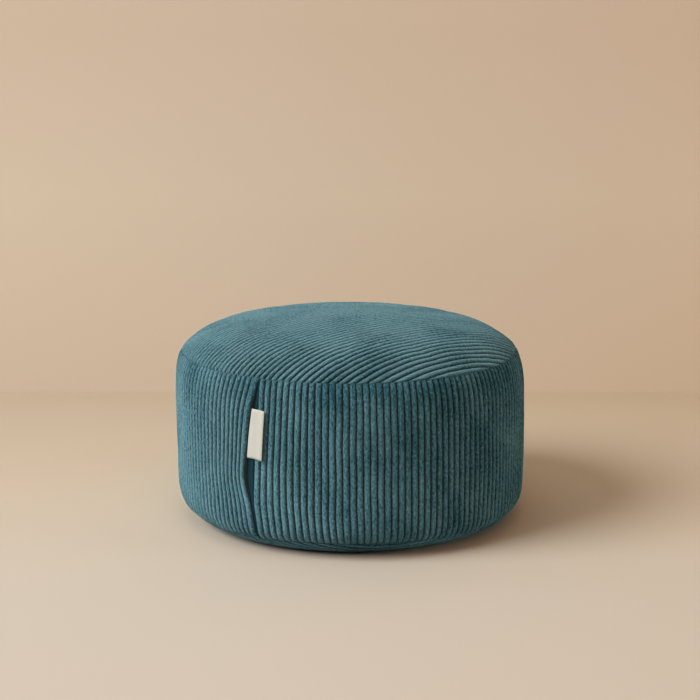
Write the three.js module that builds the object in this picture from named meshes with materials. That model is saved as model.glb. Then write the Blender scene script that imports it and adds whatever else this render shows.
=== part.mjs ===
// A round meditation cushion: a firmly filled drum of wide-ribbed corduroy, sewn from a top panel,
// a side band and a base panel, with a folded ribbon label in the band's side opening.
// Millimetres, +Z up. The origin is on the floor under the middle, and the front faces -Y.
// Azimuths turn about +Z from the front: positive is to the right of someone facing the front.
import * as THREE from 'three';

// Overall form, measured over the tops of the ribs
const widestRadius = 165;
const crownHeight = 187.3;
const topSeam = { radius: 158.2, height: 158.6 };
const baseSeam = { radius: 155.5, height: 14.8 };
const contactRadius = 130;
const leanPerHeight = -0.0135;
const leanPivotHeight = 90;

// How sharply the wall draws in to its seams, and the crown to its shoulder
const wallDraw = { lowFrom: 68, lowTurn: 38, lowPower: 8, highFrom: 100, highPower: 4.5 };
const crownPower = 4.92;
const crownFullness = 0.836;
const rimPower = 1.5;
// Gentle dome over the crown's height in its middle, out to a share of the seam's radius
const crownDome = { height: 5, share: 0.66 };

// Corduroy: broad ribs between narrow grooves, both pinched out at the seams
const ribDepth = 1.8;
const ribShoulders = [0.2, 0.8];
const seamDepth = 2.2;
const seamHalfGap = 0.6;
const ribEndLength = 3.5;
const ribEndShare = 0.25;
const outermostRibLine = 1.5;
const bandRibs = 171;
const topRibPitch = 5.6;
const topRibTurn = THREE.MathUtils.degToRad(39.5);
const baseRibPitch = 5.9;
const baseRibTurn = THREE.MathUtils.degToRad(12);

// Side opening: the band's right end lies under the folded left end, which bows away from it
const openingAzimuth = THREE.MathUtils.degToRad(-30);
const opening = { closedGap: 0.8, openGap: 7.8, depth: 7, rightBow: 3.2, rightReach: 40, leftReach: 25 };
const openingRoundness = 0.6;
const foldWidth = 11;
// Section of the folded end: distance before its edge, and height over the ribs
const foldSection = [
  { beforeEdge: 9.2, rise: 0 },
  { beforeEdge: 5.0, rise: 0.8 },
  { beforeEdge: 1.2, rise: 0.6 },
  { beforeEdge: 0, rise: -1.4 },
];
const foldUndercut = 2;
const gapFloor = { left: 0.25, right: 0.75 };

// Folded ribbon label, lying on the right end of the band and tucked in beside the fold
const ribbon = {
  low: 88, high: 132.5, thickness: 1.2, free: 11, freeLean: 0.05, rootLean: 0.027, clearance: 0.3,
};
// Path of the ribbon in plan, from its free fold to its sewn root: distance along the wall, height over ribs
const ribbonFreePath = [
  { fromFree: 0, rise: 2.2 },
  { fromFree: 5, rise: 1.15 },
  { fromFree: 10, rise: 1.0 },
];
const ribbonRootPath = [
  { fromRoot: 2.2, rise: 0.8 },
  { fromRoot: 0.5, rise: -1.6 },
  { fromRoot: 0, rise: -4.4 },
];

const corduroy = new THREE.MeshStandardMaterial({ color: 0x3f6e74, roughness: 0.95, metalness: 0 });
const wovenTape = new THREE.MeshStandardMaterial({ color: 0xd9d2c2, roughness: 0.85, metalness: 0 });

function smooth(t) {
  return THREE.MathUtils.smoothstep(t, 0, 1);
}

// Radius of the side band over its ribs at a height
function bandRadius(height) {
  const low = (wallDraw.lowFrom - height) / (wallDraw.lowFrom - baseSeam.height);
  const high = (height - wallDraw.highFrom) / (topSeam.height - wallDraw.highFrom);
  const lowDraw = (widestRadius - baseSeam.radius) * Math.max(low, 0) ** wallDraw.lowPower;
  const highDraw = (widestRadius - topSeam.radius) * Math.max(high, 0) ** wallDraw.highPower;
  return widestRadius - lowDraw - highDraw;
}

// How far the side opening stands open at a height: 0 at both seams, 1 at its widest
function openShare(height) {
  const along = (height - baseSeam.height) / (topSeam.height - baseSeam.height);
  return Math.max(Math.sin(Math.PI * along), 0);
}

function gapWidth(height) {
  return opening.closedGap + (opening.openGap - opening.closedGap) * openShare(height) ** openingRoundness;
}

// Azimuth of a place on the band, by its distance around from the band's right end
const bandLength = 2 * Math.PI * widestRadius - opening.closedGap;
function bandAzimuth(along, height) {
  const rightShift = opening.rightBow * openShare(height);
  const leftShift = rightShift + gapWidth(height) - opening.closedGap;
  const shift = rightShift * Math.exp(-along / opening.rightReach)
    + leftShift * Math.exp((along - bandLength) / opening.leftReach);
  return openingAzimuth + (along - shift) / widestRadius;
}

// A point by azimuth, radius and height, with the slight lean of the filled form
function place(azimuth, radius, height) {
  const lean = leanPerHeight * (height - leanPivotHeight);
  return new THREE.Vector3(radius * Math.sin(azimuth) + lean, -radius * Math.cos(azimuth), height);
}

// A closed skin gathered point by point
class Skin {
  constructor() {
    this.points = [];
    this.corners = [];
  }

  add(point) {
    this.points.push(point);
    return this.points.length - 1;
  }

  quad(a, b, c, d) {
    this.corners.push(a, b, c, a, c, d);
  }

  // A strip between two rings of { index, azimuth }, both running to the right, the first one below
  zip(lower, upper) {
    const start = lower[0].azimuth;
    const unwrap = (azimuth) => THREE.MathUtils.euclideanModulo(azimuth - start, 2 * Math.PI);
    const nearer = (best, at, i) => (unwrap(at.azimuth) < unwrap(upper[best].azimuth) ? i : best);
    const first = upper.reduce(nearer, 0);
    const turned = upper.slice(first).concat(upper.slice(0, first));
    const angle = (ring, i) => {
      const turns = Math.floor(i / ring.length);
      return unwrap(ring[i % ring.length].azimuth) + turns * 2 * Math.PI;
    };
    let i = 0;
    let j = 0;
    while (i < lower.length || j < turned.length) {
      const here = lower[i % lower.length].index;
      const there = turned[j % turned.length].index;
      const lowerFirst = i < lower.length && angle(lower, i + 1) <= angle(turned, j + 1);
      if (lowerFirst || j === turned.length) {
        i += 1;
        this.corners.push(here, lower[i % lower.length].index, there);
      } else {
        j += 1;
        this.corners.push(here, turned[j % turned.length].index, there);
      }
    }
  }

  geometry() {
    const geometry = new THREE.BufferGeometry().setFromPoints(this.points);
    geometry.setIndex(this.corners);
    geometry.computeVertexNormals();
    return geometry;
  }
}

// A meridian from the middle of a panel to its seam, read by the distance along the cloth
class Meridian {
  constructor(points) {
    this.points = points;
    this.reach = [0];
    for (let i = 1; i < points.length; i += 1) {
      this.reach.push(this.reach[i - 1] + points[i].distanceTo(points[i - 1]));
    }
    this.length = this.reach[points.length - 1];
  }

  // Radius, height and outward normal at a distance from the middle
  at(distance, outward) {
    let i = 1;
    while (i < this.points.length - 1 && this.reach[i] < distance) {
      i += 1;
    }
    const share = (distance - this.reach[i - 1]) / (this.reach[i] - this.reach[i - 1]);
    const spot = this.points[i - 1].clone().lerp(this.points[i], share);
    const along = this.points[i].clone().sub(this.points[i - 1]).normalize();
    const normal = new THREE.Vector2(-along.y * outward, along.x * outward);
    return { spot, normal };
  }
}

const meridianSteps = 160;

function crownMeridian() {
  const points = [];
  for (let i = 0; i <= meridianSteps; i += 1) {
    const share = 1 - (1 - i / meridianSteps) ** 2;
    const full = (1 - share ** crownPower) ** crownFullness;
    const dome = crownDome.height * Math.max(1 - (share / crownDome.share) ** 2, 0) ** 2;
    const height = THREE.MathUtils.lerp(topSeam.height, crownHeight, full) + dome;
    points.push(new THREE.Vector2(topSeam.radius * share, height));
  }
  return new Meridian(points);
}

function baseMeridian() {
  const points = [new THREE.Vector2(0, 0)];
  for (let i = 0; i <= meridianSteps; i += 1) {
    const turn = (i / meridianSteps) * Math.PI / 2;
    const radius = contactRadius + (baseSeam.radius - contactRadius) * Math.sin(turn) ** rimPower;
    points.push(new THREE.Vector2(radius, baseSeam.height * (1 - Math.cos(turn))));
  }
  return new Meridian(points);
}

// Columns of the side band: its ribs, its folded end, then the floor of the opening
function bandColumns() {
  const columns = [];
  const pitch = (bandLength - foldWidth) / bandRibs;
  for (let rib = 0; rib <= bandRibs; rib += 1) {
    columns.push({ along: rib * pitch, rise: -ribDepth, sewn: true });
    if (rib < bandRibs) {
      ribShoulders.forEach((share) => columns.push({ along: (rib + share) * pitch, rise: 0 }));
    }
  }
  foldSection.forEach(({ beforeEdge, rise }) => columns.push({ along: bandLength - beforeEdge, rise }));
  columns.push({ acrossGap: gapFloor.left, undercut: foldUndercut, sewn: true });
  columns.push({ acrossGap: gapFloor.right, undercut: 0 });
  return columns;
}

// One point of the side band. The relief and the opening fade out where the band meets a seam
function bandPoint(column, height, relief) {
  let azimuth;
  let rise;
  if (column.along !== undefined) {
    azimuth = bandAzimuth(column.along, height);
    rise = column.rise;
  } else {
    const gapAngle = gapWidth(height) / widestRadius;
    const undercut = column.undercut * relief * openShare(height) / widestRadius;
    azimuth = bandAzimuth(bandLength, height) + column.acrossGap * gapAngle - undercut;
    rise = -opening.depth * Math.sqrt(openShare(height));
  }
  const radius = bandRadius(height) + rise * relief - seamDepth * (1 - relief);
  return { azimuth, point: place(azimuth, radius, height) };
}

// Two rows are level with the ribbon's ends, so that band and ribbon run straight between the same heights
const bandSeamRows = { low: baseSeam.height + seamHalfGap, high: topSeam.height - seamHalfGap };
const bandRows = [
  bandSeamRows.low + ribEndLength,
  wallDraw.lowTurn,
  ribbon.low,
  ribbon.high,
  bandSeamRows.high - ribEndLength,
];

// Adds the side band and returns the two rings where it is sewn to the panels, caught down at each groove
function addBand(skin) {
  const columns = bandColumns();
  const ring = (chosen, height, relief) => chosen.map((column) => {
    const { azimuth, point } = bandPoint(column, height, relief);
    return { index: skin.add(point), azimuth };
  });
  const rows = bandRows.map((height) => ring(columns, height, 1));
  for (let row = 1; row < rows.length; row += 1) {
    for (let i = 0; i < columns.length; i += 1) {
      const next = (i + 1) % columns.length;
      const below = rows[row - 1];
      const above = rows[row];
      skin.quad(below[i].index, below[next].index, above[next].index, above[i].index);
    }
  }
  const sewn = columns.filter((column) => column.sewn);
  const low = ring(sewn, bandSeamRows.low, 0);
  const high = ring(sewn, bandSeamRows.high, 0);
  skin.zip(low, rows[0]);
  skin.zip(rows[rows.length - 1], high);
  return { low, high };
}

// Lines along the ribs of a panel, from one side of it to the other, as offsets from its middle
function ribLines(pitch, reach, shares) {
  const ribs = Math.floor(reach / pitch);
  const lines = [];
  for (let rib = -ribs; rib <= ribs; rib += 1) {
    shares.forEach(({ share, rise }) => lines.push({ offset: (rib - 0.5 + share) * pitch, rise }));
  }
  return lines.filter(({ offset }) => Math.abs(offset) < reach - outermostRibLine);
}

// Adds a round panel whose straight ribs are laid over a meridian, and returns its outer ring.
// The steps give the points along a rib, from its half length and its distance from the middle.
function addPanel(skin, { meridian, outward, lines, turn, steps, reliefAt, seamShift }) {
  const grid = lines.map(({ offset, rise }) => {
    const half = Math.sqrt(meridian.length ** 2 - offset ** 2);
    return steps(half, Math.abs(offset)).map((along) => {
      const x = along * Math.cos(turn) - offset * Math.sin(turn);
      const y = along * Math.sin(turn) + offset * Math.cos(turn);
      const distance = Math.min(Math.hypot(x, y), meridian.length);
      const azimuth = Math.atan2(x, -y);
      const { spot, normal } = meridian.at(distance, outward);
      const clear = smooth((meridian.length - distance) / ribEndLength);
      const lift = rise * clear * reliefAt(spot.x) - seamDepth * (1 - clear);
      const radius = spot.x + normal.x * lift;
      const height = Math.max(spot.y + normal.y * lift + seamShift * (1 - clear), 0);
      return { index: skin.add(place(azimuth, radius, height)), azimuth };
    });
  });
  for (let line = 1; line < grid.length; line += 1) {
    for (let i = 1; i < grid[line].length; i += 1) {
      const near = grid[line - 1];
      const far = grid[line];
      const corners = [near[i - 1], near[i], far[i], far[i - 1]].map(({ index }) => index);
      skin.quad(...(outward > 0 ? corners : corners.reverse()));
    }
  }
  const inner = grid.slice(1, -1);
  const rightEnds = inner.map((line) => line[line.length - 1]);
  const leftEnds = inner.map((line) => line[0]).reverse();
  return [...grid[0], ...rightEnds, ...grid[grid.length - 1].slice().reverse(), ...leftEnds];
}

// Both halves of a rib's points, from the points of its right half
function mirrored(right) {
  return [...right.map((step) => -step).reverse(), ...right];
}

// Points along a rib of the top panel: closest together on the shoulder, with short end cells
const topStepShares = [0.2, 0.5, 0.75, 0.91];
function topSteps(half) {
  const inner = half - Math.min(ribEndLength, half * ribEndShare);
  return mirrored([...topStepShares.map((share) => share * inner), inner, half]);
}

// Points along a rib of the base panel: short end cells, the rim, then one flat stretch where it rests
const baseStepShares = { edge: 0.2, rim: [0, 0.5, 1] };
function baseSteps(half, offset) {
  const inner = half - Math.min(ribEndLength, half * ribEndShare);
  const flat = offset < contactRadius ? Math.sqrt(contactRadius ** 2 - offset ** 2) : 0;
  const edge = Math.max(flat, inner * baseStepShares.edge);
  const rim = baseStepShares.rim.map((share) => THREE.MathUtils.lerp(edge, inner, share));
  return mirrored([...rim, half]);
}

function cushionGeometry() {
  const skin = new Skin();
  const band = addBand(skin);
  const crown = crownMeridian();
  const rib = [{ share: 0, rise: -ribDepth }, ...ribShoulders.map((share) => ({ share, rise: 0 }))];
  const topRing = addPanel(skin, {
    meridian: crown,
    outward: 1,
    lines: ribLines(topRibPitch, crown.length, rib),
    turn: topRibTurn,
    steps: topSteps,
    reliefAt: () => 1,
    seamShift: seamHalfGap,
  });
  const base = baseMeridian();
  const baseRing = addPanel(skin, {
    meridian: base,
    outward: -1,
    lines: ribLines(baseRibPitch, base.length, [{ share: 0, rise: -ribDepth }, { share: 0.5, rise: 0 }]),
    turn: baseRibTurn,
    steps: baseSteps,
    reliefAt: (radius) => smooth((radius - contactRadius) / ribEndLength),
    seamShift: -seamHalfGap,
  });
  skin.zip(band.high, topRing);
  skin.zip(baseRing, band.low);
  return skin.geometry();
}

// Both faces of the ribbon at a height, as a closed ring of wall reach and height over the ribs
function ribbonSection(height) {
  const middle = (ribbon.low + ribbon.high) / 2;
  const free = ribbon.free + ribbon.freeLean * (height - middle);
  const besideFold = ribbon.clearance + ribbon.thickness / 2 + ribbon.rootLean * (height - ribbon.low);
  const root = besideFold - gapWidth(height);
  const path = [
    ...ribbonFreePath.map(({ fromFree, rise }) => new THREE.Vector2(free - fromFree, rise)),
    ...ribbonRootPath.map(({ fromRoot, rise }) => new THREE.Vector2(root + fromRoot, rise)),
  ];
  const faces = path.map((spot, i) => {
    const before = path[Math.max(i - 1, 0)];
    const after = path[Math.min(i + 1, path.length - 1)];
    const along = after.clone().sub(before).normalize();
    const across = new THREE.Vector2(-along.y, along.x).multiplyScalar(ribbon.thickness / 2);
    return { inner: spot.clone().add(across), outer: spot.clone().sub(across) };
  });
  const nose = path[0].clone().add(new THREE.Vector2(ribbon.thickness / 2, 0));
  return [nose, ...faces.map(({ outer }) => outer), ...faces.map(({ inner }) => inner).reverse()];
}

function labelGeometry() {
  const skin = new Skin();
  const [low, high] = [ribbon.low, ribbon.high].map((height) => {
    const edge = bandAzimuth(0, height);
    const radius = bandRadius(height);
    const section = ribbonSection(height);
    return section.map(({ x, y }) => skin.add(place(edge + x / widestRadius, radius + y, height)));
  });
  low.forEach((corner, i) => {
    const next = (i + 1) % low.length;
    skin.quad(low[next], corner, high[i], high[next]);
  });
  const cap = THREE.ShapeUtils.triangulateShape(ribbonSection(ribbon.low), []);
  cap.forEach(([a, b, c]) => {
    skin.corners.push(low[a], low[b], low[c]);
    skin.corners.push(high[c], high[b], high[a]);
  });
  return skin.geometry();
}

function named(name, geometry, material) {
  const mesh = new THREE.Mesh(geometry, material);
  mesh.name = name;
  return mesh;
}

const meditationCushion = new THREE.Group();
meditationCushion.add(named('cushion', cushionGeometry(), corduroy));
meditationCushion.add(named('label', labelGeometry(), wovenTape));

export default meditationCushion;
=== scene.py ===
import math

import bpy
import numpy as np
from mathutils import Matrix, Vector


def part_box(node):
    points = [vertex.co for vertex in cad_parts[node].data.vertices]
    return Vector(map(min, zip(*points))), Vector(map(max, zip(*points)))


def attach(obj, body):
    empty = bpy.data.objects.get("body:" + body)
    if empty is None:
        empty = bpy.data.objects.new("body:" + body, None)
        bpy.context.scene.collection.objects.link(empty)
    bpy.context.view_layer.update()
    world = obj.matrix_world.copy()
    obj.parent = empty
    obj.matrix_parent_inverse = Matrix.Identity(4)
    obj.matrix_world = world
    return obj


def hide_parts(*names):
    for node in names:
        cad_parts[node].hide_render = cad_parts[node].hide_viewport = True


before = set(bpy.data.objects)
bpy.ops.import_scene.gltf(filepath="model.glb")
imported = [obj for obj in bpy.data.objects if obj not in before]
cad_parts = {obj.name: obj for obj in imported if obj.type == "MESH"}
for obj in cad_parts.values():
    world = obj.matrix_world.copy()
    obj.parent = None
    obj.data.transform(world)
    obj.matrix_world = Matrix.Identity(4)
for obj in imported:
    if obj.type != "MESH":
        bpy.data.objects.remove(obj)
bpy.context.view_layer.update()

# Overall form, measured over the tops of the ribs
cushion_low, cushion_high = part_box("cushion")
label_low, label_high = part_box("label")
WIDEST_RADIUS = (cushion_high.y - cushion_low.y) / 2
CROWN_HEIGHT = 0.1873
TOP_SEAM_RADIUS = 0.1582
TOP_SEAM_HEIGHT = 0.1586
BASE_SEAM_RADIUS = 0.1555
BASE_SEAM_HEIGHT = 0.0148
LEAN_PER_HEIGHT = -0.0135
LEAN_PIVOT_HEIGHT = 0.090

# The right side is a little fuller and spreads at its foot, and the wall hangs lower at both sides
RIGHT_FULLER = 0.0016
FOOT_SPREAD = 0.003
FOOT_SPREAD_HEIGHT = 0.035
SIDE_DROP = 0.003
SIDE_DROP_HEIGHT = 0.060
SIDE_DROP_FROM = math.radians(10)
SIDE_DROP_TO = math.radians(45)

# How sharply the wall draws in to its seams, and the crown to its shoulder
WALL_LOW_FROM = 0.068
WALL_LOW_POWER = 8
WALL_HIGH_FROM = 0.100
WALL_HIGH_POWER = 4.5
CROWN_POWER = 4.92
CROWN_FULLNESS = 0.836
# Gentle dome over the crown's height in its middle, out to a share of the seam's radius
DOME_HEIGHT = 0.005
DOME_SHARE = 0.66
# The base's rim is an arc from flat on the floor to this turn short of upright
RIM_TURN_IN = math.radians(36)
# Points of the lines that the panels and the wall are read from
MERIDIAN_POINTS = 400
BASE_FLAT_POINTS = 49
WALL_POINTS = 200

# Corduroy: round ribs between narrow grooves, both pinched out at the seams
RIB_DEPTH = 0.0027
TOP_RIB_DEPTH = 0.0033
BASE_RIB_DEPTH = 0.0020
RIB_ROUNDNESS = 3.0
BAND_RIBS = 171
TOP_RIB_PITCH = 0.0056
BASE_RIB_PITCH = 0.0059
TOP_RIB_TURN = math.radians(39.5)
BASE_RIB_TURN = math.radians(12)
SEAM_HALF_GAP = 0.0003
RIB_END_LENGTH = 0.0022
RIB_END_PINCH = 0.6
RIB_END_LEVEL = 0.55
OUTERMOST_RIB_LINE = 0.0015
# On the panels the painted shade of a groove climbs its ribs: the lower the power, the higher
PANEL_GROOVE_SHADE = 0.6

# Lines of points along each rib, as shares of its pitch, and cells from end to end of a panel's rib
RIB_SHARES = (0, 0.08, 0.18, 0.34, 0.66, 0.82, 0.92)
BASE_RIB_SHARES = (0, 0.1, 0.3, 0.5, 0.7, 0.9)
TOP_CELLS = 66
BASE_CELLS = 30
EVEN_CELLS_SHARE = 0.45
# Rows of the band, closest together where it is pinched into its seams
BAND_SEAM_LOW = BASE_SEAM_HEIGHT + SEAM_HALF_GAP
BAND_SEAM_HIGH = TOP_SEAM_HEIGHT - SEAM_HALF_GAP
SEAM_STEPS = (0, 0.0006, 0.0013, 0.0022, 0.0034, 0.0052, 0.0078)
BAND_MIDDLE_ROWS = 30

# Side opening: the band's right end lies under the folded left end, which bows away from it
OPENING_AZIMUTH = math.radians(-29)
CLOSED_GAP = 0.0008
OPEN_GAP = 0.0089
# Height, then how far the fold's edge and the right end stand to the left of the opening's azimuth
OPENING_EDGES = (
    (0.0148, 0.0066, 0.0058),
    (0.0226, 0.0059, 0.0045),
    (0.0320, 0.0066, 0.0043),
    (0.0410, 0.0078, 0.0062),
    (0.0500, 0.0101, 0.0071),
    (0.0585, 0.0131, 0.0070),
    (0.0670, 0.0150, 0.0068),
    (0.0760, 0.0152, 0.0063),
    (0.0875, 0.0133, 0.0054),
    (0.1130, 0.0100, 0.0026),
    (0.1330, 0.0067, 0.0001),
    (0.1400, 0.0046, -0.0002),
    (0.1500, 0.0016, -0.0001),
    (0.1586, 0.0008, 0.0000),
)
# The edges are eased by the mean of places this far apart
EDGE_EASE = 0.003
EDGE_EASE_STEPS = (-2, -1, 0, 1, 2)
RIGHT_REACH = 0.040
LEFT_REACH = 0.040
FOLD_WIDTH = 0.0085
BAND_LENGTH = 2 * math.pi * WIDEST_RADIUS - CLOSED_GAP
# Section of the folded end: distance before its edge, and height over the ribs
FOLD_SECTION = (
    (0.0080, -0.0012),
    (0.0073, -0.0003),
    (0.0060, 0.0003),
    (0.0045, 0.0008),
    (0.0030, 0.0012),
    (0.0018, 0.0012),
    (0.0008, 0.0006),
    (0.0002, -0.0004),
    (0.0000, -0.0016),
    (0.0003, -0.0028),
)
FACING_POINTS = 3
# Floor of the opening: share of the gap from the fold, height over the ribs, and how dark it is: its bare
# weave without nap, darker still as painted shade under the fold
GAP_SECTION = (
    (0.03, -0.0034, 1.0),
    (0.12, -0.0034, 0.95),
    (0.35, -0.0033, 0.85),
    (0.60, -0.0032, 0.85),
    (0.80, -0.0031, 0.90),
    (0.95, -0.0029, 0.95),
)
GAP_DEPTH_EASE = 0.3

# Folded ribbon label, lying on the right end of the band and tucked in beside the fold
LABEL_LOW = label_low.z
LABEL_HIGH = label_high.z
LABEL_LAYER = 0.00035
LABEL_HALF_THICKNESS = 0.00045
LABEL_FREE = 0.0091
LABEL_FREE_LEAN = -0.031
LABEL_ROOT_LEAN = 0.004
LABEL_DROOP = 0.07
LABEL_CLEARANCE = 0.0003
LABEL_ROWS = 24
# Path of the ribbon in plan from its free fold and from its sewn root: distance, and height over the ribs
LABEL_FREE_PATH = (
    (0, 0.0022),
    (0.0025, 0.0016),
    (0.005, 0.0012),
    (0.0075, 0.00105),
    (0.010, 0.0010),
)
LABEL_ROOT_PATH = (
    (0.0016, 0.0009),
    (0.0010, 0.0006),
    (0.0005, 0.0001),
    (0.0002, -0.0008),
    (0.0, -0.0024),
)

# Slight unevenness of a filled and handled cover
RIB_SWAY = 0.00035
RIB_SWAY_SIZE = 0.055
RIB_WOBBLE = 0.00015
RIB_WOBBLE_SIZE = 0.016
WOBBLE_ALONG_RIB = 0.5
PUCKER_HEIGHT = 0.0003
PUCKER_SIZE = 0.019
PUCKER_REACH = 0.012
PUCKER_UP_WALL = 0.2
QUIET_BY_OPENING = 0.030
UNDERLAP_DIP = 0.0022
UNDERLAP_REACH = 0.024
# Waves added up in a ripple, how their lengths vary about its size, and where it is held
RIPPLE_WAVES = 9
RIPPLE_SHORTEST = 0.7
RIPPLE_LONGEST = 1.5
RIPPLE_LIMIT = 1.5
# Start of each row of random draws. A panel's own number is added to the last four
BAND_SWAY_DRAW = 1
BAND_WOBBLE_DRAW = 2
COVER_DRAW = 3
BAND_PUCKER_DRAW = 4
STITCH_DRAW = 5
PANEL_SWAY_DRAW = 10
PANEL_WOBBLE_DRAW = 20
PANEL_PATCH_DRAW = 30
PANEL_PUCKER_DRAW = 40
TOP_PANEL = 1
BASE_PANEL = 2

# Swelling of the plain cover under the pressure of its filling, from a slightly smaller and uneven start
COVER_STEP = 0.007
COVER_COLUMNS = 168
START_SMALLER = 0.0015
START_UNEVEN = 0.0008
START_UNEVEN_SIZE = 0.050
LOOSEST_STITCH = 0.3
FILL_PRESSURE = 4.0
SWELL_FRAMES = 20
SWELL_CAP = 0.003
SWELL_KEPT = 0.4

# Painted tone of the band's nap by height: painted shade towards the top seam, where the brushed pile looks
# darker in the light
BAND_PAINTED_LIGHT_BY_HEIGHT = (
    (0.015, 0.15),
    (0.060, 0.15),
    (0.100, 0.12),
    (0.130, -0.02),
    (0.150, -0.19),
)
# Painted light and shade added to that by degrees around from the front: lighter on the lit left, darker on
# the shaded front and right; and what is added on the folded end
BAND_PAINTED_LIGHT_BY_TURN = (
    (-180, -0.14),
    (-75, 0.04),
    (-47, 0.16),
    (-28, 0.06),
    (0, -0.20),
    (60, -0.30),
    (90, -0.36),
    (180, -0.14),
)
FOLD_NAP_LIE = -0.18
# Painted light on the panels, by the seam and in the middle: the top painted lighter, most in its middle, the
# base painted darker in its shade; with patches of the nap stroked this way and that
TOP_PAINTED_LIGHT = (0.33, 0.66)
BASE_PAINTED_SHADE = (-0.05, -0.05)
PATCH_LIE = 0.26
PATCH_SIZE = 0.075

# Colours of the nap from its darkest tone, 0, to its lightest, and of the ground between the ribs, which also
# stands for painted shade in the grooves
NAP_DARK = (0.0135, 0.077, 0.114)
NAP_LIGHT = (0.152, 0.317, 0.408)
NAP_LIGHTEST_TONE = 1.25
GROOVE_SHADE_COLOUR = (0.0068, 0.0327, 0.050)
# Noise that varies the tone: turn, stretch along and across the ribs, size, detail, and the tones it adds
BRUSHED_NOISE = (0.3, 0.7, 1, 0.040, 3, 0.09, 0.77)
STREAK_NOISE = (0, 0.4, 1, 0.0055, 2, -0.14, 0.18)
TUFT_NOISE = (0.7, 0.7, 1.3, 0.0020, 2, -0.28, 0.60)
NOISE_LOW = 0.3
NOISE_HIGH = 0.7
FUZZ_SIZE = 0.0010
FUZZ_DETAIL = 1
PILE_BUMP = 0.0022
# Places of the materials on the cushion, after the corduroy
FACING_PLACE = 1
GROUND_PLACE = 2

# Paper under and behind the cushion
FLOOR_LEVEL = -0.0002
SWEEP_HALF_WIDTH = 15.0
SWEEP_FRONT = -4.0
WALL_PLACE = 0.490
WALL_TOP = 3.0
# Colour of the paper on the floor by distance behind the cushion's middle, and on the wall by height, graded
# as painted light and shade: darker towards the back, with painted shade along the corner
FLOOR_COLOURS = (
    (-0.25, (0.506, 0.452, 0.418)),
    (0.00, (0.519, 0.445, 0.383)),
    (0.17, (0.493, 0.414, 0.346)),
    (0.45, (0.434, 0.350, 0.276)),
)
WALL_COLOURS = (
    (0.00, (0.625, 0.519, 0.436)),
    (0.25, (0.651, 0.556, 0.469)),
    (0.45, (0.605, 0.501, 0.421)),
)
# Painted shade: the paper is a little darker and warmer towards its right side, where the light falls off
RIGHT_PAPER_PAINTED_SHADE = (0.990, 0.950, 0.910)
RIGHT_PAPER_REACH = (-0.10, 0.45)

# Lights: name, place, aim, size across, power, colour, and the degrees that their light spreads over
LIGHTS = (
    ("left_window", (-6.12, -2.72, 4.96), (0, 0, 0.08), 5.4, 930, (0.965, 1.0, 0.945), 180),
    ("front_bounce", (0.8, -2.6, 3.4), (0, 0, 0.05), 3.0, 30, (1.0, 0.38, 0.10), 180),
    ("ceiling_bounce", (-0.4, -0.4, 3.2), (0, 0, 0), 2.0, 15.7, (0.81, 1.0, 0.855), 180),
    ("right_bounce", (3.4, -0.9, 0.9), (0, 0, 0.08), 1.6, 2.9, (0.85, 1.0, 0.90), 50),
)
ROOM_COLOUR = (1.0, 0.80, 0.60)
ROOM_STRENGTH = 0.122

CAMERA_PLACE = (0.0004, -1.4386, 0.4511)
CAMERA_TILT = math.radians(11.61)
CAMERA_LENS = 79.4
CAMERA_SENSOR = 36


def smooth(share):
    """Eases from 0 to 1 as the share goes from 0 to 1."""
    held = np.clip(share, 0, 1)
    return held * held * (3 - 2 * held)


def ripple(first, second, size, start):
    """Gentle irregular waves of about that size over two distances, mostly from -1 to 1."""
    chance = np.random.RandomState(start)
    total = np.zeros(np.broadcast(first, second).shape)
    for wave in range(RIPPLE_WAVES):
        turn = math.pi * (wave + chance.uniform(0, 1)) / RIPPLE_WAVES
        length = size * chance.uniform(RIPPLE_SHORTEST, RIPPLE_LONGEST)
        phase = chance.uniform(0, 2 * math.pi)
        across = first * math.cos(turn) + second * math.sin(turn)
        total = total + np.sin(2 * math.pi * across / length + phase)
    return np.clip(total / math.sqrt(2 * RIPPLE_WAVES), -RIPPLE_LIMIT, RIPPLE_LIMIT)


def rib_end(to_seam):
    """How far the cloth is pinched into a seam: 0 away from it, most at the seam."""
    return RIB_END_PINCH * np.clip(1 - to_seam / RIB_END_LENGTH, 0, 1) ** 2


def rib_fullness(share, to_seam):
    """Height of a rib as a share of its depth: 0 in its grooves, 1 along its middle, more level at a seam."""
    from_middle = np.abs(2 * (share % 1) - 1)
    full = 1 - from_middle**RIB_ROUNDNESS
    return full + rib_end(to_seam) * (RIB_END_LEVEL - full)


def band_radius(height):
    """Radius of the side band over its ribs at a height."""
    low = np.maximum((WALL_LOW_FROM - height) / (WALL_LOW_FROM - BASE_SEAM_HEIGHT), 0)
    high = np.maximum((height - WALL_HIGH_FROM) / (TOP_SEAM_HEIGHT - WALL_HIGH_FROM), 0)
    low_draw = (WIDEST_RADIUS - BASE_SEAM_RADIUS) * low**WALL_LOW_POWER
    high_draw = (WIDEST_RADIUS - TOP_SEAM_RADIUS) * high**WALL_HIGH_POWER
    return WIDEST_RADIUS - low_draw - high_draw


def opening_edges(height):
    """How far the fold's edge and the right end stand to the left of the opening's azimuth at a height."""
    heights, folds, rights = zip(*OPENING_EDGES)
    nearby = [height + step * EDGE_EASE for step in EDGE_EASE_STEPS]
    fold = sum(np.interp(spot, heights, folds) for spot in nearby) / len(nearby)
    right = sum(np.interp(spot, heights, rights) for spot in nearby) / len(nearby)
    return fold, right


def gap_width(height):
    fold, right = opening_edges(height)
    return fold - right


def open_share(height):
    """How far the side opening stands open at a height: 0 where it is closed, 1 at its widest."""
    return np.clip((gap_width(height) - CLOSED_GAP) / (OPEN_GAP - CLOSED_GAP), 0, 1)


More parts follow.
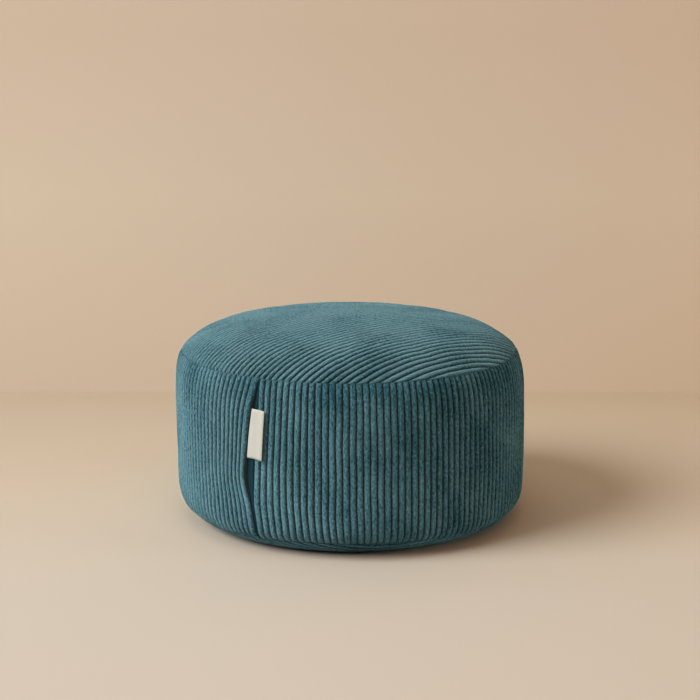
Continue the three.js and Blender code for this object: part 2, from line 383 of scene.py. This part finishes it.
def band_azimuth(along, height):
    """Azimuth of a place on the band, by its distance around from the band's right end."""
    fold, right = opening_edges(height)
    by_right = right * np.exp(-along / RIGHT_REACH)
    by_left = (fold - CLOSED_GAP) * np.exp((along - BAND_LENGTH) / LEFT_REACH)
    return OPENING_AZIMUTH + (along - by_right - by_left) / WIDEST_RADIUS


def band_lumps(swell, along, height):
    """Unevenness of the wall: its swelling, its puckers, and the dip of its right end under the left."""
    to_seam = np.minimum(TOP_SEAM_HEIGHT - height, height - BASE_SEAM_HEIGHT)
    pucker = PUCKER_HEIGHT * np.exp(-to_seam / PUCKER_REACH)
    lumps = swell.at(OPENING_AZIMUTH + along / WIDEST_RADIUS, swell.reach_at_height(height))
    from_right_end = np.where(along < BAND_LENGTH / 2, np.maximum(along, 0), BAND_LENGTH)
    dip = UNDERLAP_DIP * np.exp(-from_right_end / UNDERLAP_REACH) * open_share(height)
    return lumps - dip + pucker * ripple(along, PUCKER_UP_WALL * height, PUCKER_SIZE, BAND_PUCKER_DRAW)


def band_painted_light(azimuth, height):
    """How much lighter or darker the band's nap is painted at a place, as painted light and shade."""
    degrees = np.degrees(np.arctan2(np.sin(azimuth), np.cos(azimuth)))
    by_height = np.interp(height, *zip(*BAND_PAINTED_LIGHT_BY_HEIGHT))
    by_turn = np.interp(degrees, *zip(*BAND_PAINTED_LIGHT_BY_TURN))
    return by_height + by_turn


def place(azimuth, radius, height):
    """Points by azimuth, radius and height, with the form's lean, its fuller right and its low sides."""
    lean = LEAN_PER_HEIGHT * (height - LEAN_PIVOT_HEIGHT)
    to_right = radius * np.sin(azimuth)
    foot = FOOT_SPREAD * smooth(1 - height / FOOT_SPREAD_HEIGHT)
    fuller = RIGHT_FULLER * np.sin(math.pi * np.clip(height / CROWN_HEIGHT, 0, 1))
    spread_right = smooth(to_right / WIDEST_RADIUS) * (foot + fuller)
    from_front = np.arcsin(np.abs(np.sin(azimuth)))
    to_side = smooth((from_front - SIDE_DROP_FROM) / (SIDE_DROP_TO - SIDE_DROP_FROM))
    drop = SIDE_DROP * to_side * np.interp(height, (0, BASE_SEAM_HEIGHT, SIDE_DROP_HEIGHT), (0, 1, 0))
    return np.stack([to_right + spread_right + lean, -radius * np.cos(azimuth), height - drop], axis=-1)


def grid_faces(numbers):
    """Faces between the rows and columns of a grid of point numbers."""
    corners = [numbers[:-1, :-1], numbers[:-1, 1:], numbers[1:, 1:], numbers[1:, :-1]]
    return np.stack(corners, axis=-1).reshape(-1, 4).tolist()


def closed_round(numbers):
    """The same grid with its first column again after its last."""
    return np.concatenate([numbers, numbers[:, :1]], axis=1)


class Skin:
    """A closed skin gathered panel by panel, with what its cloth is like at each point, and its painted light
    and shade.
    """

    def __init__(self):
        self.points = []
        self.cloth = []
        self.groove_shade = []
        self.nap_and_painted_light = []
        self.faces = []
        self.facing_faces = range(0)
        self.ground_faces = range(0)
        self.count = 0

    def add(self, points, cloth, groove_shade, nap_and_painted_light):
        """Adds a grid of points and returns their numbers in the same layout."""
        rows, columns = points.shape[:2]
        self.points.append(points.reshape(-1, 3))
        self.cloth.append(cloth.reshape(-1, 3))
        self.groove_shade.append(np.broadcast_to(groove_shade, (rows, columns)).reshape(-1))
        self.nap_and_painted_light.append(np.broadcast_to(nap_and_painted_light, (rows, columns)).reshape(-1))
        numbers = self.count + np.arange(rows * columns).reshape(rows, columns)
        self.count += rows * columns
        return numbers

    def zip(self, lower, lower_azimuth, upper, upper_azimuth):
        """A strip between two rings that run to the right, the first one below the other."""
        start = lower_azimuth[0]
        turn = 2 * math.pi
        low_at = np.append((lower_azimuth - start) % turn, turn)
        high_at = (upper_azimuth - start) % turn
        first = int(np.argmin(high_at))
        ring = np.roll(upper, -first)
        high_at = np.roll(high_at, -first)
        high_at = np.append(high_at, high_at[0] + turn)
        i = 0
        j = 0
        while i < len(lower) or j < len(ring):
            here = int(lower[i % len(lower)])
            there = int(ring[j % len(ring)])
            lower_first = i < len(lower) and j < len(ring) and low_at[i + 1] <= high_at[j + 1]
            if lower_first or j == len(ring):
                i += 1
                self.faces.append([here, int(lower[i % len(lower)]), there])
            else:
                j += 1
                self.faces.append([here, int(ring[j % len(ring)]), there])


def band_heights():
    low = [BAND_SEAM_LOW + step for step in SEAM_STEPS]
    high = [BAND_SEAM_HIGH - step for step in reversed(SEAM_STEPS)]
    middle = np.linspace(low[-1], high[0], BAND_MIDDLE_ROWS + 2)[1:-1]
    return np.concatenate([low, middle, high])


def add_band(skin, swell):
    """Adds the side band, and returns its lower and upper ring with their azimuths."""
    height = band_heights()[:, None]
    pitch = (BAND_LENGTH - FOLD_WIDTH) / BAND_RIBS
    shares = np.array([rib + share for rib in range(BAND_RIBS) for share in RIB_SHARES] + [BAND_RIBS])
    along = (shares * pitch)[None, :]
    from_opening = np.minimum(along, BAND_LENGTH - along)
    loose = smooth(from_opening / QUIET_BY_OPENING)
    sway = RIB_SWAY * ripple(along, height, RIB_SWAY_SIZE, BAND_SWAY_DRAW)
    wobble = RIB_WOBBLE * ripple(along, WOBBLE_ALONG_RIB * height, RIB_WOBBLE_SIZE, BAND_WOBBLE_DRAW)
    rib_azimuth = band_azimuth(along + loose * (sway + wobble), height)
    to_seam = np.minimum(BAND_SEAM_HIGH - height, height - BAND_SEAM_LOW)
    end = rib_end(to_seam)
    fullness = rib_fullness(shares[None, :], to_seam)
    rib_rise = -RIB_DEPTH * (1 - fullness)
    seam_rise = -RIB_DEPTH * (1 - RIB_END_LEVEL) * end

    before_edge, fold_rise = np.array(FOLD_SECTION).T[:, None, :]
    fold_along = BAND_LENGTH - before_edge
    fold_rise = fold_rise * (1 - end) + seam_rise
    fold_azimuth = band_azimuth(fold_along, height)

    gap_share, gap_rise, gap_bare_shade = np.array(GAP_SECTION).T[:, None, :]
    gap_rise = gap_rise * open_share(height) ** GAP_DEPTH_EASE
    gap_rise = gap_rise * (1 - end) + seam_rise
    gap_bare_shade = gap_bare_shade + 0 * height
    fold_edge = band_azimuth(BAND_LENGTH, height)
    gap_azimuth = fold_edge + gap_share * gap_width(height) / WIDEST_RADIUS

    azimuth = np.concatenate([rib_azimuth, fold_azimuth, gap_azimuth], axis=1)
    rise = np.concatenate([rib_rise, fold_rise, gap_rise], axis=1)
    around = np.concatenate([along, fold_along, BAND_LENGTH + gap_share * OPEN_GAP], axis=1)
    radius = band_radius(height) + rise + band_lumps(swell, around, height) * (1 - end)

    ribs = rib_azimuth.shape[1]
    folds = fold_azimuth.shape[1]
    # Painted shade where the fold's turned edge drops below the rib tops
    fold_groove_shade = np.clip(-fold_rise / RIB_DEPTH, 0, 1)
    # Share of the groove colour: the bare ground and painted shade in the grooves, on the fold's turned edge
    # and in the opening
    groove_shade = np.concatenate([1 - fullness, fold_groove_shade, gap_bare_shade], axis=1)
    cloth = np.stack([height + 0 * around, around + 0 * height, np.zeros_like(radius)], axis=-1)
    points = place(azimuth, radius, height + 0 * radius)
    on_fold = np.concatenate([np.zeros(ribs), np.ones(folds), np.zeros(gap_share.size)])[None, :]
    numbers = skin.add(points, cloth, groove_shade, band_painted_light(azimuth, height) + FOLD_NAP_LIE * on_fold)
    facing_from = ribs + folds - FACING_POINTS
    facing_to = ribs + folds
    skin.faces += grid_faces(numbers[:, : facing_from + 1])
    first_facing = len(skin.faces)
    skin.faces += grid_faces(numbers[:, facing_from : facing_to + 1])
    skin.facing_faces = range(first_facing, len(skin.faces))
    skin.faces += grid_faces(closed_round(numbers)[:, facing_to:])
    skin.ground_faces = range(skin.facing_faces.stop, len(skin.faces))
    return (numbers[0], azimuth[0]), (numbers[-1], azimuth[-1])


def crown_meridian():
    """Radius and height along the top panel, from its middle to its seam."""
    share = 1 - (1 - np.linspace(0, 1, MERIDIAN_POINTS)) ** 2
    full = (1 - share**CROWN_POWER) ** CROWN_FULLNESS
    dome = DOME_HEIGHT * np.maximum(1 - (share / DOME_SHARE) ** 2, 0) ** 2
    height = TOP_SEAM_HEIGHT + (CROWN_HEIGHT - TOP_SEAM_HEIGHT) * full + dome
    return TOP_SEAM_RADIUS * share, height


def base_meridian():
    """Radius and height along the base panel, from its middle to its seam."""
    turn = np.linspace(math.pi / 2, RIM_TURN_IN, MERIDIAN_POINTS)
    rim_radius = BASE_SEAM_HEIGHT / (1 - math.sin(RIM_TURN_IN))
    contact_radius = BASE_SEAM_RADIUS - rim_radius * math.cos(RIM_TURN_IN)
    flat = np.linspace(0, contact_radius, BASE_FLAT_POINTS, endpoint=False)
    radius = np.concatenate([flat, contact_radius + rim_radius * np.cos(turn)])
    height = np.concatenate([0 * flat, rim_radius * (1 - np.sin(turn))])
    return radius, height


class Swell:
    """How far the filling swells the cover or leaves it slack, by azimuth and reach along its meridian."""

    def __init__(self):
        base_radius, base_height = base_meridian()
        wall_height = np.linspace(BASE_SEAM_HEIGHT, TOP_SEAM_HEIGHT, WALL_POINTS)[1:-1]
        crown_radius, crown_height = crown_meridian()
        radius = np.concatenate([base_radius, band_radius(wall_height), crown_radius[::-1]])
        height = np.concatenate([base_height, wall_height, crown_height[::-1]])
        step = np.hypot(np.diff(radius), np.diff(height))
        self.height = height
        self.reach = np.concatenate([[0], np.cumsum(step)])
        self.wall_from = len(base_radius) - 1
        self.wall_to = self.wall_from + len(wall_height) + 1
        base_seam = self.reach[self.wall_from]
        top_seam = self.reach[self.wall_to]
        spots = []
        for first, last in ((0, base_seam), (base_seam, top_seam), (top_seam, self.reach[-1])):
            count = round((last - first) / COVER_STEP)
            spots.append(np.linspace(first, last, count + 1)[:-1])
        seam_rows = (len(spots[0]) - 1, len(spots[0]) + len(spots[1]) - 1)
        self.spots = np.concatenate(spots)[1:]
        start_radius = np.interp(self.spots, self.reach, radius) - START_SMALLER
        start_height = np.interp(self.spots, self.reach, height)
        moved = self.simulate(start_radius, start_height, seam_rows)
        out = np.hypot(moved[..., 0], moved[..., 1])
        up = moved[..., 2]
        # The measured outline stays, and only the difference from each ring's mean is kept
        out = out - out.mean(axis=1, keepdims=True)
        up = up - up.mean(axis=1, keepdims=True)
        out_share = np.interp(self.spots, self.reach, np.gradient(height, self.reach))[:, None]
        up_share = -np.interp(self.spots, self.reach, np.gradient(radius, self.reach))[:, None]
        self.rise = SWELL_KEPT * np.clip(out * out_share + up * up_share, -SWELL_CAP, SWELL_CAP)

    def simulate(self, start_radius, start_height, seam_rows):
        """Blows the cover up as cloth held by its base and stitches, and returns where its points come to."""
        rows = len(self.spots)
        azimuth = np.linspace(0, 2 * math.pi, COVER_COLUMNS, endpoint=False)
        around = WIDEST_RADIUS * azimuth[None, :]
        uneven = START_UNEVEN * ripple(around, self.spots[:, None], START_UNEVEN_SIZE, COVER_DRAW)
        radius = start_radius[:, None] + uneven
        height = start_height[:, None] + 0 * radius
        rings = np.stack([radius * np.sin(azimuth), -radius * np.cos(azimuth), height], axis=-1)
        bottom = rows * COVER_COLUMNS
        numbers = np.arange(bottom).reshape(rows, COVER_COLUMNS)
        closed = closed_round(numbers)
        faces = grid_faces(closed)
        faces += [[bottom, int(b), int(a)] for a, b in zip(closed[0], closed[0, 1:])]
        faces += [[bottom + 1, int(a), int(b)] for a, b in zip(closed[-1], closed[-1, 1:])]
        poles = [[0, 0, 0], [0, 0, CROWN_HEIGHT + DOME_HEIGHT]]
        cover = make_piece("plain_cover", np.concatenate([rings.reshape(-1, 3), poles]), faces, [])
        held = cover.vertex_groups.new(name="held")
        held.add([bottom] + numbers[start_height <= 0].reshape(-1).tolist(), 1, "REPLACE")
        chance = np.random.RandomState(STITCH_DRAW)
        for row in seam_rows:
            for stitch in numbers[row].tolist():
                held.add([stitch], chance.uniform(LOOSEST_STITCH, 1), "REPLACE")
        cloth = cover.modifiers.new("filling", "CLOTH")
        cloth.settings.use_pressure = True
        cloth.settings.uniform_pressure_force = FILL_PRESSURE
        cloth.settings.effector_weights.gravity = 0
        cloth.settings.vertex_group_mass = "held"
        cloth.point_cache.frame_end = SWELL_FRAMES
        for moment in range(1, SWELL_FRAMES + 1):
            bpy.context.scene.frame_set(moment)
        blown = cover.evaluated_get(bpy.context.evaluated_depsgraph_get()).data
        moved = np.empty(3 * len(blown.vertices))
        blown.vertices.foreach_get("co", moved)
        plain_mesh = cover.data
        bpy.data.objects.remove(cover)
        bpy.data.meshes.remove(plain_mesh)
        bpy.context.scene.frame_set(1)
        return moved.reshape(-1, 3)[:bottom].reshape(rows, COVER_COLUMNS, 3)

    def reach_at_height(self, height):
        """Reach along the meridian of a place on the wall."""
        wall = slice(self.wall_from, self.wall_to + 1)
        return np.interp(height, self.height[wall], self.reach[wall])

    def at(self, azimuth, reach):
        """The swelling at a place, between the nearest rings and columns."""
        ring = np.interp(reach, self.spots, np.arange(len(self.spots)))
        column = azimuth % (2 * math.pi) / (2 * math.pi) * COVER_COLUMNS
        ring, column = np.broadcast_arrays(ring, column)
        low = np.minimum(ring.astype(int), len(self.spots) - 2)
        left = column.astype(int) % COVER_COLUMNS
        right = (left + 1) % COVER_COLUMNS
        over = ring - low
        beside = column - np.floor(column)
        lower = self.rise[low, left] * (1 - beside) + self.rise[low, right] * beside
        upper = self.rise[low + 1, left] * (1 - beside) + self.rise[low + 1, right] * beside
        return lower * (1 - over) + upper * over


def add_panel(skin, meridian, outward, pitch, depth, shares, turn, cells, nap_and_painted_light, panel, swell=None):
    """Adds a round panel with straight ribs laid over a meridian, and returns its ring with the azimuths."""
    spot_radius, spot_height = meridian
    step = np.hypot(np.diff(spot_radius), np.diff(spot_height))
    reach = np.concatenate([[0], np.cumsum(step)])
    length = reach[-1]
    slope_radius = np.gradient(spot_radius, reach)
    slope_height = np.gradient(spot_height, reach)

    count = int(length // pitch)
    offsets = np.array([rib - 0.5 + share for rib in range(-count, count + 1) for share in shares]) * pitch
    offsets = offsets[np.abs(offsets) < length - OUTERMOST_RIB_LINE]
    half = np.sqrt(length**2 - offsets**2)[:, None]
    even = np.linspace(-1, 1, cells + 1)[None, :]
    crowded = np.sin(math.pi / 2 * even)
    along = half * (EVEN_CELLS_SHARE * even + (1 - EVEN_CELLS_SHARE) * crowded)
    across = offsets[:, None] + 0 * along

    to_edge = length - np.hypot(along, across)
    loose = smooth(to_edge / QUIET_BY_OPENING)
    sway = RIB_SWAY * ripple(along, across, RIB_SWAY_SIZE, PANEL_SWAY_DRAW + panel)
    wobble = RIB_WOBBLE * ripple(WOBBLE_ALONG_RIB * along, across, RIB_WOBBLE_SIZE, PANEL_WOBBLE_DRAW + panel)
    shifted = across + loose * (sway + wobble)
    x = along * math.cos(turn) - shifted * math.sin(turn)
    y = along * math.sin(turn) + shifted * math.cos(turn)
    distance = np.minimum(np.hypot(x, y), length)
    azimuth = np.arctan2(x, -y)
    to_seam = length - distance
    end = rib_end(to_seam)
    fullness = rib_fullness((offsets / pitch + 0.5)[:, None], to_seam)
    lumps = swell.at(azimuth, swell.reach[-1] - distance) if swell else 0
    puckers = np.exp(-to_seam / PUCKER_REACH) * ripple(x, y, PUCKER_SIZE, PANEL_PUCKER_DRAW + panel)
    lift = -depth * (1 - fullness) + (lumps + PUCKER_HEIGHT * puckers) * (1 - end)
    normal_radius = -np.interp(distance, reach, slope_height) * outward
    normal_height = np.interp(distance, reach, slope_radius) * outward
    radius = np.interp(distance, reach, spot_radius) + normal_radius * lift
    height = np.interp(distance, reach, spot_height) + normal_height * lift
    height = np.maximum(height + outward * SEAM_HALF_GAP * end, 0)

    cloth = np.stack([along, across, panel + 0 * along], axis=-1)
    # Painted shade of the grooves, climbing the ribs
    groove_shade = (1 - fullness) ** PANEL_GROOVE_SHADE
    # Painted light and shade of the panel, with the random patches of its nap added
    light_by_seam, light_in_middle = nap_and_painted_light
    panel_light = light_by_seam + (light_in_middle - light_by_seam) * smooth(to_seam / length)
    patches = PATCH_LIE * ripple(along, across, PATCH_SIZE, PANEL_PATCH_DRAW + panel)
    numbers = skin.add(place(azimuth, radius, height), cloth, groove_shade, panel_light + patches)
    faces = grid_faces(numbers)
    skin.faces += faces if outward > 0 else [face[::-1] for face in faces]
    ring = np.concatenate([numbers[0], numbers[1:-1, -1], numbers[-1, ::-1], numbers[1:-1, 0][::-1]])
    around = np.concatenate([azimuth[0], azimuth[1:-1, -1], azimuth[-1, ::-1], azimuth[1:-1, 0][::-1]])
    return ring, around


def make_piece(name, points, faces, materials):
    """A mesh object of those points and faces, shaded smooth."""
    mesh = bpy.data.meshes.new(name)
    mesh.from_pydata(points.tolist(), [], faces)
    mesh.update()
    for material in materials:
        mesh.materials.append(material)
    mesh.shade_smooth()
    piece = bpy.data.objects.new(name, mesh)
    bpy.context.scene.collection.objects.link(piece)
    return piece


def keep_attribute(piece, name, kind, field, values):
    """Keeps a value for each point of a piece, for its material to read."""
    kept = piece.data.attributes.new(name, kind, "POINT")
    kept.data.foreach_set(field, np.concatenate(values).astype(np.float32).reshape(-1))


def make_cushion(corduroy, facing, ground, swell):
    skin = Skin()
    band_low, band_high = add_band(skin, swell)
    top = add_panel(
        skin,
        crown_meridian(),
        outward=1,
        pitch=TOP_RIB_PITCH,
        depth=TOP_RIB_DEPTH,
        shares=RIB_SHARES,
        turn=TOP_RIB_TURN,
        cells=TOP_CELLS,
        nap_and_painted_light=TOP_PAINTED_LIGHT,
        panel=TOP_PANEL,
        swell=swell,
    )
    base = add_panel(
        skin,
        base_meridian(),
        outward=-1,
        pitch=BASE_RIB_PITCH,
        depth=BASE_RIB_DEPTH,
        shares=BASE_RIB_SHARES,
        turn=BASE_RIB_TURN,
        cells=BASE_CELLS,
        nap_and_painted_light=BASE_PAINTED_SHADE,
        panel=BASE_PANEL,
    )
    skin.zip(*band_high, *top)
    skin.zip(*base, *band_low)
    materials = [corduroy, facing, ground]
    piece = make_piece("corduroy_cushion", np.concatenate(skin.points), skin.faces, materials)
    for face in skin.facing_faces:
        piece.data.polygons[face].material_index = FACING_PLACE
    for face in skin.ground_faces:
        piece.data.polygons[face].material_index = GROUND_PLACE
    keep_attribute(piece, "groove_shade", "FLOAT", "value", skin.groove_shade)
    # The nap tone holds painted light and shade as well as the nap's own patches
    keep_attribute(piece, "nap_and_painted_light", "FLOAT", "value", skin.nap_and_painted_light)
    keep_attribute(piece, "cloth", "FLOAT_VECTOR", "vector", skin.cloth)
    return piece


def label_section(height):
    """Outer and inner face of the doubled ribbon at a height, as wall reach and height over the ribs."""
    middle = (LABEL_LOW + LABEL_HIGH) / 2
    free = LABEL_FREE + LABEL_FREE_LEAN * (height - middle)
    beside_fold = LABEL_CLEARANCE + LABEL_HALF_THICKNESS + LABEL_ROOT_LEAN * (height - LABEL_LOW)
    root = beside_fold - gap_width(height)
    path = [(free - reach, rise) for reach, rise in LABEL_FREE_PATH]
    path += [(root + reach, rise) for reach, rise in LABEL_ROOT_PATH]
    path = np.array(path)
    along = np.gradient(path, axis=0)
    along = along / np.linalg.norm(along, axis=1)[:, None]
    across = np.stack([-along[:, 1], along[:, 0]], axis=1)
    slit = LABEL_HALF_THICKNESS - LABEL_LAYER
    outer, outer_slit, inner_slit, inner = [
        path + across * offset for offset in (-LABEL_HALF_THICKNESS, -slit, slit, LABEL_HALF_THICKNESS)
    ]
    nose = path[0] + np.array([LABEL_HALF_THICKNESS, 0])
    slit_nose = path[0] + np.array([slit, 0])
    return np.concatenate([outer[::-1], [nose], inner, inner_slit[::-1], [slit_nose], outer_slit])


def make_label(tape, swell):
    """The bare folded ribbon, one thin sheet doubled back on itself."""
    rows = []
    for height in np.linspace(LABEL_LOW, LABEL_HIGH, LABEL_ROWS):
        reach, rise = label_section(height).T
        edge = band_azimuth(0.0, height)
        radius = band_radius(height) + band_lumps(swell, reach, height) + rise
        drooped = height - LABEL_DROOP * np.maximum(reach, 0)
        rows.append(place(edge + reach / WIDEST_RADIUS, radius, drooped))
    points = np.stack(rows)
    columns = points.shape[1]
    numbers = np.arange(LABEL_ROWS * columns).reshape(LABEL_ROWS, columns)
    faces = grid_faces(closed_round(numbers))
    for i in range(columns // 2 - 1):
        across = [i, columns - 1 - i, columns - 2 - i, i + 1]
        faces.append(numbers[0, across].tolist())
        faces.append(numbers[-1, across[::-1]].tolist())
    return make_piece("ribbon_label", points.reshape(-1, 3), faces, [tape])


def new_material(name):
    material = bpy.data.materials.new(name)
    material.use_nodes = True
    nodes = material.node_tree.nodes
    nodes.clear()
    shader = nodes.new("ShaderNodeBsdfPrincipled")
    output = nodes.new("ShaderNodeOutputMaterial")
    material.node_tree.links.new(shader.outputs["BSDF"], output.inputs["Surface"])
    return material, shader


def noise(tree, vector, size, detail):
    """Noise with features of about that size, in metres."""
    texture = tree.nodes.new("ShaderNodeTexNoise")
    texture.inputs["Scale"].default_value = 1 / size
    texture.inputs["Detail"].default_value = detail
    tree.links.new(vector, texture.inputs["Vector"])
    return texture.outputs["Fac"]


def spread(tree, value, low, high, to_low, to_high):
    """Carries a value from one range to another, held at both ends."""
    mapper = tree.nodes.new("ShaderNodeMapRange")
    mapper.inputs["From Min"].default_value = low
    mapper.inputs["From Max"].default_value = high
    mapper.inputs["To Min"].default_value = to_low
    mapper.inputs["To Max"].default_value = to_high
    tree.links.new(value, mapper.inputs["Value"])
    return mapper.outputs["Result"]


def combine(tree, operation, first, second):
    """A sum or another operation on two values, each a socket or a plain number."""
    maths = tree.nodes.new("ShaderNodeMath")
    maths.operation = operation
    for socket, value in zip(maths.inputs, (first, second)):
        if isinstance(value, (int, float)):
            socket.default_value = value
        else:
            tree.links.new(value, socket)
    return maths.outputs["Value"]


def blend_colour(tree, share, first, second, manner="MIX"):
    """A share of the way from one colour to another, each a socket or a plain colour."""
    mixer = tree.nodes.new("ShaderNodeMix")
    mixer.data_type = "RGBA"
    mixer.blend_type = manner
    tree.links.new(share, mixer.inputs["Factor"])
    for socket, value in ((mixer.inputs["A"], first), (mixer.inputs["B"], second)):
        if isinstance(value, tuple):
            socket.default_value = (*value, 1)
        else:
            tree.links.new(value, socket)
    return mixer.outputs["Result"]


def laid(tree, vector, turn, along, across):
    """The cloth's own distances, turned and then stretched along and across."""
    mapping = tree.nodes.new("ShaderNodeMapping")
    mapping.inputs["Rotation"].default_value = (0, 0, turn)
    mapping.inputs["Scale"].default_value = (along, across, 1)
    tree.links.new(vector, mapping.inputs["Vector"])
    return mapping.outputs["Vector"]


def attribute(tree, name, output):
    reader = tree.nodes.new("ShaderNodeAttribute")
    reader.attribute_name = name
    return reader.outputs[output]


def bump(tree, height, distance, shader):
    lifter = tree.nodes.new("ShaderNodeBump")
    lifter.inputs["Distance"].default_value = distance
    lifter.inputs["Strength"].default_value = 1.0
    tree.links.new(height, lifter.inputs["Height"])
    tree.links.new(lifter.outputs["Normal"], shader.inputs["Normal"])


def corduroy_material():
    material, shader = new_material("teal_corduroy")
    tree = material.node_tree
    cloth = attribute(tree, "cloth", "Vector")
    groove_shade = attribute(tree, "groove_shade", "Fac")
    # Tone of the nap, with the painted light and shade laid on it
    tone = attribute(tree, "nap_and_painted_light", "Fac")
    for turn, along, across, size, detail, darkest, lightest in (BRUSHED_NOISE, STREAK_NOISE, TUFT_NOISE):
        layer = noise(tree, laid(tree, cloth, turn, along, across), size, detail)
        tone = combine(tree, "ADD", tone, spread(tree, layer, NOISE_LOW, NOISE_HIGH, darkest, lightest))
    tufts = layer
    nap_and_painted_light = blend_colour(tree, combine(tree, "DIVIDE", tone, NAP_LIGHTEST_TONE), NAP_DARK, NAP_LIGHT)
    # The grooves are darkened towards the ground's colour, partly as painted shade
    colour = blend_colour(tree, groove_shade, nap_and_painted_light, GROOVE_SHADE_COLOUR)
    tree.links.new(colour, shader.inputs["Base Color"])
    shader.inputs["Roughness"].default_value = 0.95
    shader.inputs["Specular IOR Level"].default_value = 0.05
    shader.inputs["Sheen Weight"].default_value = 0.39
    shader.inputs["Sheen Roughness"].default_value = 0.4
    shader.inputs["Sheen Tint"].default_value = (0.43, 0.80, 0.95, 1)
    fuzz = noise(tree, cloth, FUZZ_SIZE, FUZZ_DETAIL)
    bump(tree, combine(tree, "ADD", tufts, fuzz), PILE_BUMP, shader)
    return material


def facing_material():
    """The turned-in edge of the fold, which is mostly in shade; its dark colour is painted shade."""
    material, shader = new_material("hem_facing_painted_shade")
    shader.inputs["Base Color"].default_value = (0.038, 0.062, 0.074, 1)
    shader.inputs["Roughness"].default_value = 0.9
    return material


def ground_material():
    """The cloth inside the opening, which has no nap on it, painted darker still as shade under the fold."""
    material, shader = new_material("bare_weave_painted_shade")
    shader.inputs["Base Color"].default_value = (0.008, 0.032, 0.048, 1)
    shader.inputs["Roughness"].default_value = 0.95
    shader.inputs["Specular IOR Level"].default_value = 0.1
    return material


def tape_material():
    material, shader = new_material("cream_woven_tape")
    shader.inputs["Base Color"].default_value = (0.47, 0.475, 0.46, 1)
    shader.inputs["Roughness"].default_value = 0.75
    return material


def paper_material(name, axis, colours):
    """Matt paper whose colour, graded as painted light and shade, changes slowly along an axis and darkens
    towards the right; clear when seen from behind.
    """
    material, shader = new_material(name)
    shader.inputs["Roughness"].default_value = 1.0
    shader.inputs["Specular IOR Level"].default_value = 0.1
    tree = material.node_tree
    geometry = tree.nodes.new("ShaderNodeNewGeometry")
    parts = tree.nodes.new("ShaderNodeSeparateXYZ")
    tree.links.new(geometry.outputs["Position"], parts.inputs["Vector"])
    start, colour = colours[0]
    for stop, later in colours[1:]:
        share = spread(tree, parts.outputs[axis], start, stop, 0, 1)
        colour = blend_colour(tree, share, colour, later)
        start = stop
    # Painted shade towards the paper's right side
    to_right = spread(tree, parts.outputs["X"], *RIGHT_PAPER_REACH, 0, 1)
    colour = blend_colour(tree, to_right, colour, RIGHT_PAPER_PAINTED_SHADE, "MULTIPLY")
    tree.links.new(colour, shader.inputs["Base Color"])
    clear = tree.nodes.new("ShaderNodeBsdfTransparent")
    either = tree.nodes.new("ShaderNodeMixShader")
    from_behind, front, back = either.inputs
    tree.links.new(geometry.outputs["Backfacing"], from_behind)
    tree.links.new(shader.outputs["BSDF"], front)
    tree.links.new(clear.outputs["BSDF"], back)
    tree.links.new(either.outputs["Shader"], tree.nodes["Material Output"].inputs["Surface"])
    return material


def make_sweep():
    """The paper under and behind the cushion, seen only from its front side."""
    profile = [(SWEEP_FRONT, FLOOR_LEVEL), (WALL_PLACE, FLOOR_LEVEL), (WALL_PLACE, WALL_TOP)]
    points = [(side * SWEEP_HALF_WIDTH, y, z) for y, z in profile for side in (-1, 1)]
    faces = [[2 * i, 2 * i + 1, 2 * i + 3, 2 * i + 2] for i in range(len(profile) - 1)]
    floor_paper = paper_material("floor_paper", "Y", FLOOR_COLOURS)
    wall_paper = paper_material("wall_paper", "Z", WALL_COLOURS)
    sweep = make_piece("paper_sweep", np.array(points), faces, [floor_paper, wall_paper])
    sweep.data.shade_flat()
    floor_face, wall_face = sweep.data.polygons
    floor_face.material_index = 0
    wall_face.material_index = 1


def add_light(name, position, aim, size, power, colour, spread_degrees):
    lamp = bpy.data.lights.new(name, "AREA")
    lamp.shape = "DISK"
    lamp.size = size
    lamp.energy = power
    lamp.color = colour
    lamp.spread = math.radians(spread_degrees)
    light = bpy.data.objects.new(name, lamp)
    light.location = position
    x, y, z = np.array(aim) - np.array(position)
    light.rotation_euler = (math.atan2(math.hypot(x, y), -z), 0, math.atan2(-x, y))
    bpy.context.scene.collection.objects.link(light)


def make_lights():
    for light in LIGHTS:
        add_light(*light)
    world = bpy.data.worlds.new("soft_room")
    world.use_nodes = True
    room = world.node_tree.nodes["Background"]
    room.inputs["Color"].default_value = (*ROOM_COLOUR, 1)
    room.inputs["Strength"].default_value = ROOM_STRENGTH
    bpy.context.scene.world = world


def make_camera():
    lens = bpy.data.cameras.new("photo_view")
    lens.lens = CAMERA_LENS
    lens.sensor_width = CAMERA_SENSOR
    camera = bpy.data.objects.new("photo_view", lens)
    camera.location = CAMERA_PLACE
    camera.rotation_euler = (math.pi / 2 - CAMERA_TILT, 0, 0)
    bpy.context.scene.collection.objects.link(camera)
    bpy.context.scene.camera = camera


cover_swell = Swell()
cushion = make_cushion(corduroy_material(), facing_material(), ground_material(), cover_swell)
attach(cushion, "root")
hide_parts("cushion")

label = make_label(tape_material(), cover_swell)
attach(label, "root")
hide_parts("label")

make_sweep()
make_lights()
make_camera()
bpy.context.scene.view_settings.view_transform = "Standard"
